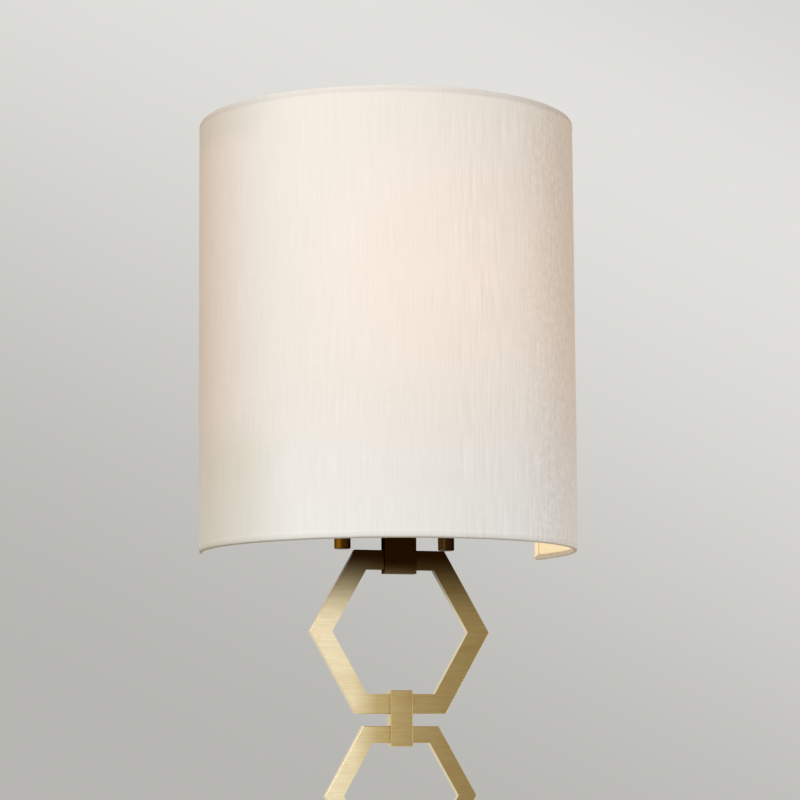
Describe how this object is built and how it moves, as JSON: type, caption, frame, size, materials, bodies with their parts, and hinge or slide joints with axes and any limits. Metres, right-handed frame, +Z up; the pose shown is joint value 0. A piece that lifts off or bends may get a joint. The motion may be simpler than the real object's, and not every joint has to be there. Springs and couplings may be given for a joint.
{
  "type": "wall sconce",
  "caption": "Wall sconce with a half-round fabric shade over a short arm and a hanging column of brass hexagon frames joined by clasps.",
  "frame": {"origin": "on the wall plane, midway between the two wall screws of the wall bracket", "axes": "+Z up, +X to the viewer's right, +Y into the wall, so the light stands out along -Y"},
  "size_m": [0.2032, 0.1337, 0.4647],
  "materials": {
    "aged_brass": "brushed, aged",
    "plated_steel": "zinc plated",
    "ivory_fabric": "slub weave",
    "gold_lining": "satin",
    "clear_glass": "clear",
    "nickel": "bright nickel",
    "bright_brass": "bright",
    "black_plastic": "matt moulding",
    "black_rubber": "soft",
    "filament": "coated",
    "white_plastic": "translucent nylon",
    "clear_sheath": "smooth sheath",
    "brown_sleeve": "smooth sleeve",
    "blue_sleeve": "smooth sleeve",
    "green_sleeve": "smooth sleeve"
  },
  "bodies": {
    "fixture": {"arm_bracket": "aged_brass", "arm_nuts": "plated_steel", "arm_screws": "aged_brass", "backplate": "aged_brass", "backplate_screws": "aged_brass", "earth_core": "green_sleeve", "earth_screw": "plated_steel", "earth_washer": "plated_steel", "hanger_block": "aged_brass", "hanger_cover": "aged_brass", "hanger_cover_screws": "aged_brass", "hanger_screws": "aged_brass", "lamp_lead": "clear_sheath", "lampholder_base": "black_plastic", "lampholder_body": "black_plastic", "lampholder_contact": "bright_brass", "lampholder_nipple": "plated_steel", "lampholder_nut": "plated_steel", "lampholder_shell": "bright_brass", "lampholder_spacer": "aged_brass", "large_hexagon": "aged_brass", "lead_grommet": "black_rubber", "live_core": "brown_sleeve", "lower_clasp_cover": "aged_brass", "lower_clasp_front": "aged_brass", "lower_clasp_screws": "aged_brass", "middle_hexagon": "aged_brass", "neutral_core": "blue_sleeve", "small_hexagon": "aged_brass", "terminal_block": "white_plastic", "terminal_fixing_screw": "plated_steel", "terminal_screws": "plated_steel", "upper_clasp_cover": "aged_brass", "upper_clasp_front": "aged_brass", "upper_clasp_screws": "aged_brass", "wall_bracket": "plated_steel"},
    "shade": {"shade_fabric": "ivory_fabric", "shade_lining": "gold_lining", "shade_upper_wire": "plated_steel", "shade_lower_wire": "plated_steel", "shade_end_wires": "plated_steel", "shade_fitter": "plated_steel", "shade_fitter_nuts": "plated_steel"},
    "lamp": {"lamp_glass": "clear_glass", "lamp_cap": "nickel", "lamp_insulator": "black_plastic", "lamp_tip": "nickel", "lamp_stem": "clear_glass", "lamp_filaments": "filament"},
    "left_washer": {"left_thumb_washer": "aged_brass"},
    "left_thumb_screw": {"left_thumb_screw": "aged_brass"},
    "right_washer": {"right_thumb_washer": "aged_brass"},
    "right_thumb_screw": {"right_thumb_screw": "aged_brass"}
  },
  "joints": [
    {"name": "shade_lift", "type": "slide", "parent": "fixture", "child": "shade", "axis": [0, 0, 1], "range_m": [0, 0.175]},
    {"name": "lamp_draw_out", "type": "slide", "parent": "fixture", "child": "lamp", "axis": [0, 0, 1], "range_m": [0, 0.175]},
    {"name": "left_washer_drop", "type": "slide", "parent": "fixture", "child": "left_washer", "axis": [0, 0, -1], "range_m": [0, 0.007]},
    {"name": "left_screw_turn", "type": "hinge", "parent": "left_washer", "child": "left_thumb_screw", "pos_m": [-0.0291, -0.0426, -0.0405], "axis": [0, 0, -1], "range_deg": [0, 3601]},
    {"name": "right_washer_drop", "type": "slide", "parent": "fixture", "child": "right_washer", "axis": [0, 0, -1], "range_m": [0, 0.007]},
    {"name": "right_screw_turn", "type": "hinge", "parent": "right_washer", "child": "right_thumb_screw", "pos_m": [0.0291, -0.0426, -0.0405], "axis": [0, 0, -1], "range_deg": [0, 3601]}
  ],
  "couplings": [
    {"joint": "left_screw_turn", "follows": "left_washer_drop", "rad_per_m": 8976},
    {"joint": "right_screw_turn", "follows": "right_washer_drop", "rad_per_m": 8976}
  ]
}
